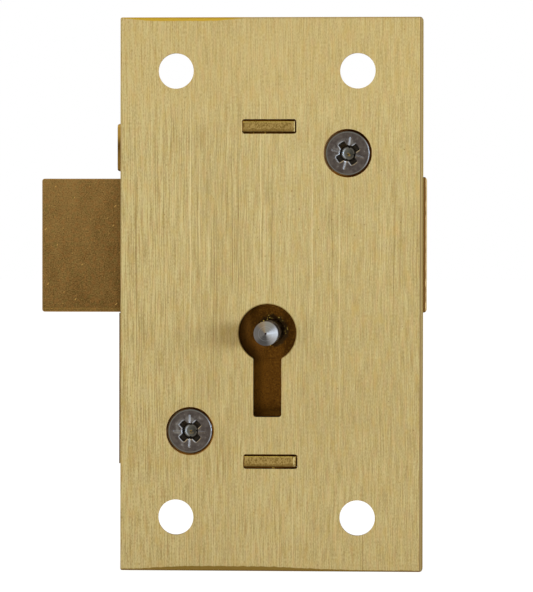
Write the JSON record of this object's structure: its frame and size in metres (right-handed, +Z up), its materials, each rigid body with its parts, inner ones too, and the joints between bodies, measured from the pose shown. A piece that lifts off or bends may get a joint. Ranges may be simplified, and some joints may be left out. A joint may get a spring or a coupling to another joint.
{
  "type": "cupboard lock",
  "caption": "Flat surface-fixed cupboard lock: a rectangular plate over a folded box case, with a through sliding bolt, levers, a keyhole and a drill pin for a pipe key.",
  "frame": {"origin": "middle of the four fixing holes, on the plate's door face", "axes": "+X along the bolt, away from the side it is thrown to; +Y from the door face into the lock; +Z up, with the keyhole's throat pointing down"},
  "size_m": [0.0447, 0.016, 0.064],
  "materials": {
    "plate_brass": "satin, brushed along its height",
    "case_brass": "raw sheet, rolled and folded",
    "bolt_brass": "cast and blasted, browned",
    "lever_brass": "stamped sheet",
    "spring_bronze": "rolled strip",
    "turned_steel": "turned",
    "screw_steel": "dark zinc plating"
  },
  "bodies": {
    "case": {"front_plate": "plate_brass", "lock_case": "case_brass", "lever_post": "turned_steel", "front_washer": "lever_brass", "back_washer": "lever_brass", "drill_pin": "turned_steel", "upper_case_screw": "screw_steel", "lower_case_screw": "screw_steel", "upper_screw_post": "turned_steel", "lower_screw_post": "turned_steel"},
    "bolt": {"bolt": "bolt_brass", "bolt_stump": "turned_steel"},
    "lever_1": {"lever_1": "lever_brass", "lever_spring_1": "spring_bronze"},
    "lever_2": {"lever_2": "lever_brass", "lever_spring_2": "spring_bronze"},
    "lever_3": {"lever_3": "lever_brass", "lever_spring_3": "spring_bronze"},
    "lever_4": {"lever_4": "lever_brass", "lever_spring_4": "spring_bronze"}
  },
  "joints": [
    {"name": "bolt_slide", "type": "slide", "parent": "case", "child": "bolt", "axis": [1, 0, 0], "range_m": [0, 0.0085]},
    {"name": "lever_1_lift", "type": "hinge", "parent": "case", "child": "lever_1", "pos_m": [0.0128, 0.0069, 0.00175], "axis": [0, 1, 0], "range_deg": [0, 14], "deforming": ["lever_spring_1"]},
    {"name": "lever_2_lift", "type": "hinge", "parent": "case", "child": "lever_2", "pos_m": [0.0128, 0.0078, 0.00175], "axis": [0, 1, 0], "range_deg": [0, 17], "deforming": ["lever_spring_2"]},
    {"name": "lever_3_lift", "type": "hinge", "parent": "case", "child": "lever_3", "pos_m": [0.0128, 0.0087, 0.00175], "axis": [0, 1, 0], "range_deg": [0, 12], "deforming": ["lever_spring_3"]},
    {"name": "lever_4_lift", "type": "hinge", "parent": "case", "child": "lever_4", "pos_m": [0.0128, 0.0096, 0.00175], "axis": [0, 1, 0], "range_deg": [0, 15], "deforming": ["lever_spring_4"]}
  ],
  "couplings": [
    {"joint": "lever_1_lift", "follows": "bolt_slide", "rad_per_m": 24.64},
    {"joint": "lever_2_lift", "follows": "bolt_slide", "rad_per_m": 30.8},
    {"joint": "lever_3_lift", "follows": "bolt_slide", "rad_per_m": 20.533},
    {"joint": "lever_4_lift", "follows": "bolt_slide", "rad_per_m": 26.693}
  ]
}
